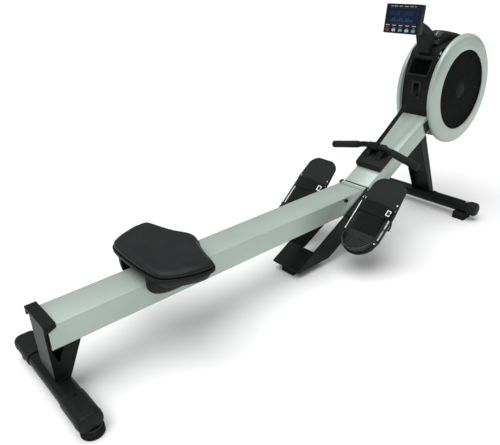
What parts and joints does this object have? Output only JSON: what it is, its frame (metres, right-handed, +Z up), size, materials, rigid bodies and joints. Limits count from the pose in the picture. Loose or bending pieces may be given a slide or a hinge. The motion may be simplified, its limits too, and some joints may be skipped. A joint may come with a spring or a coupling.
{
  "type": "rowing machine",
  "caption": "Air-resistance rowing machine with a rail that folds up at a hinge, a rolling seat, pivoting foot plates, a strap-pulled handle and a caged fan.",
  "frame": {"origin": "on the floor, at the middle of the machine's length and width", "axes": "+X from the rear stabiliser towards the fan, +Y to the rower's left when facing the fan, +Z up"},
  "size_m": [2.421, 0.616, 1.0355],
  "materials": {
    "satin_aluminium": "satin",
    "black_paint": "satin",
    "black_plastic": "fine texture",
    "silver_plastic": "silver lacquer",
    "black_rubber": "matte",
    "foam_grip": "foam",
    "seat_vinyl": "matte vinyl",
    "zinc_steel": "zinc plate",
    "black_webbing": "woven",
    "blue_screen": "gloss",
    "red_button": "satin",
    "blue_button": "satin",
    "grey_plastic": "satin",
    "nylon_roller": "satin"
  },
  "bodies": {
    "frame": {"front_tube": "satin_aluminium", "middle_support": "black_paint", "support_pad": "black_rubber", "front_post": "black_paint", "front_stabilizer": "black_paint", "front_cap_left": "black_plastic", "front_cap_right": "black_plastic", "front_foot_left": "black_rubber", "front_foot_right": "black_rubber", "hinge_pin": "zinc_steel", "pedal_axle": "zinc_steel", "handle_cradle": "black_plastic", "housing_shell": "black_plastic", "ring_left": "silver_plastic", "ring_right": "silver_plastic", "grille_left": "black_plastic", "grille_right": "black_plastic", "fork_left": "black_paint", "fork_right": "black_paint", "fan_axle": "zinc_steel", "control_pod": "black_plastic", "console_arm": "black_plastic", "strap": "black_webbing"},
    "rail_assembly": {"rail": "satin_aluminium", "seat_stop": "black_rubber", "rail_hinge": "satin_aluminium", "rail_end_cap": "black_plastic", "rear_leg": "black_paint", "rear_stabilizer": "black_paint", "rear_cap_left": "black_plastic", "rear_cap_right": "black_plastic"},
    "foot_left": {"leveller_left": "black_rubber"},
    "foot_right": {"leveller_right": "black_rubber"},
    "seat": {"seat_pad": "seat_vinyl", "seat_carriage": "black_paint"},
    "wheel_front_left": {"roller_front_left": "nylon_roller"},
    "wheel_front_right": {"roller_front_right": "nylon_roller"},
    "wheel_rear_left": {"roller_rear_left": "nylon_roller"},
    "wheel_rear_right": {"roller_rear_right": "nylon_roller"},
    "handle": {"handle_bar": "black_paint", "grip_left": "foam_grip", "grip_right": "foam_grip"},
    "spool": {"strap_spool": "grey_plastic"},
    "fan": {"fan_wheel": "black_paint"},
    "knob": {"resistance_knob": "grey_plastic"},
    "console": {"console_housing": "black_plastic", "console_screen": "blue_screen"},
    "key_1": {"button_1": "red_button"},
    "key_2": {"button_2": "blue_button"},
    "key_3": {"button_3": "blue_button"},
    "key_4": {"button_4": "blue_button"},
    "key_5": {"button_5": "blue_button"},
    "pedal_left": {"footplate_left": "black_plastic", "heel_cup_left": "black_rubber", "foot_strap_left": "black_webbing", "buckle_left": "zinc_steel"},
    "pedal_right": {"footplate_right": "black_plastic", "heel_cup_right": "black_rubber", "foot_strap_right": "black_webbing", "buckle_right": "zinc_steel"}
  },
  "joints": [
    {"name": "rail_fold", "type": "hinge", "parent": "frame", "child": "rail_assembly", "pos_m": [0.281, 0, 0.279], "axis": [0, -1, 0], "range_deg": [-90, 0]},
    {"name": "seat_slide", "type": "slide", "parent": "rail_assembly", "child": "seat", "axis": [1, 0, 0], "range_m": [-0.27, 0.72]},
    {"name": "roller_front_left_spin", "type": "hinge", "parent": "seat", "child": "wheel_front_left", "pos_m": [-0.665, 0.042, 0.3013], "axis": [0, 1, 0], "continuous": true},
    {"name": "roller_front_right_spin", "type": "hinge", "parent": "seat", "child": "wheel_front_right", "pos_m": [-0.665, -0.042, 0.3013], "axis": [0, 1, 0], "continuous": true},
    {"name": "roller_rear_left_spin", "type": "hinge", "parent": "seat", "child": "wheel_rear_left", "pos_m": [-0.805, 0.042, 0.3013], "axis": [0, 1, 0], "continuous": true},
    {"name": "roller_rear_right_spin", "type": "hinge", "parent": "seat", "child": "wheel_rear_right", "pos_m": [-0.805, -0.042, 0.3013], "axis": [0, 1, 0], "continuous": true},
    {"name": "handle_pull", "type": "slide", "parent": "frame", "child": "handle", "axis": [-0.9659, 0, 0.2588], "range_m": [0, 1.1], "deforming": ["strap"]},
    {"name": "spool_spin", "type": "hinge", "parent": "frame", "child": "spool", "pos_m": [0.752, 0, 0.636], "axis": [0, 1, 0], "continuous": true},
    {"name": "fan_spin", "type": "hinge", "parent": "frame", "child": "fan", "pos_m": [0.948, 0, 0.62], "axis": [0, 1, 0], "continuous": true},
    {"name": "pedal_left_tilt", "type": "hinge", "parent": "frame", "child": "pedal_left", "pos_m": [0.174, 0.194, 0.18], "axis": [0, 1, 0], "range_deg": [-10, 10]},
    {"name": "pedal_right_tilt", "type": "hinge", "parent": "frame", "child": "pedal_right", "pos_m": [0.174, -0.194, 0.18], "axis": [0, 1, 0], "range_deg": [-10, 10]},
    {"name": "console_tilt", "type": "hinge", "parent": "frame", "child": "console", "pos_m": [0.6, 0, 0.965], "axis": [0, 1, 0], "range_deg": [-20, 15]},
    {"name": "key_1_press", "type": "slide", "parent": "console", "child": "key_1", "axis": [0.9903, 0, -0.1392], "range_m": [0, 0.0015], "stiffness_N_per_m": 200},
    {"name": "key_2_press", "type": "slide", "parent": "console", "child": "key_2", "axis": [0.9903, 0, -0.1392], "range_m": [0, 0.0015], "stiffness_N_per_m": 200},
    {"name": "key_3_press", "type": "slide", "parent": "console", "child": "key_3", "axis": [0.9903, 0, -0.1392], "range_m": [0, 0.0015], "stiffness_N_per_m": 200},
    {"name": "key_4_press", "type": "slide", "parent": "console", "child": "key_4", "axis": [0.9903, 0, -0.1392], "range_m": [0, 0.0015], "stiffness_N_per_m": 200},
    {"name": "key_5_press", "type": "slide", "parent": "console", "child": "key_5", "axis": [0.9903, 0, -0.1392], "range_m": [0, 0.0015], "stiffness_N_per_m": 200},
    {"name": "knob_turn", "type": "hinge", "parent": "frame", "child": "knob", "pos_m": [0.8115, -0.022, 0.8827], "axis": [-0.6769, 0, 0.7361], "range_deg": [-150, 150]},
    {"name": "leveller_left_turn", "type": "hinge", "parent": "rail_assembly", "child": "foot_left", "pos_m": [-1.1645, 0.232, 0.015], "axis": [0, 0, 1], "continuous": true},
    {"name": "leveller_right_turn", "type": "hinge", "parent": "rail_assembly", "child": "foot_right", "pos_m": [-1.1645, -0.232, 0.015], "axis": [0, 0, 1], "continuous": true}
  ],
  "couplings": [
    {"joint": "roller_front_left_spin", "follows": "seat_slide", "rad_per_m": 66.667},
    {"joint": "roller_front_right_spin", "follows": "seat_slide", "rad_per_m": 66.667},
    {"joint": "roller_rear_left_spin", "follows": "seat_slide", "rad_per_m": 66.667},
    {"joint": "roller_rear_right_spin", "follows": "seat_slide", "rad_per_m": 66.667},
    {"joint": "spool_spin", "follows": "handle_pull", "rad_per_m": -36.765}
  ]
}
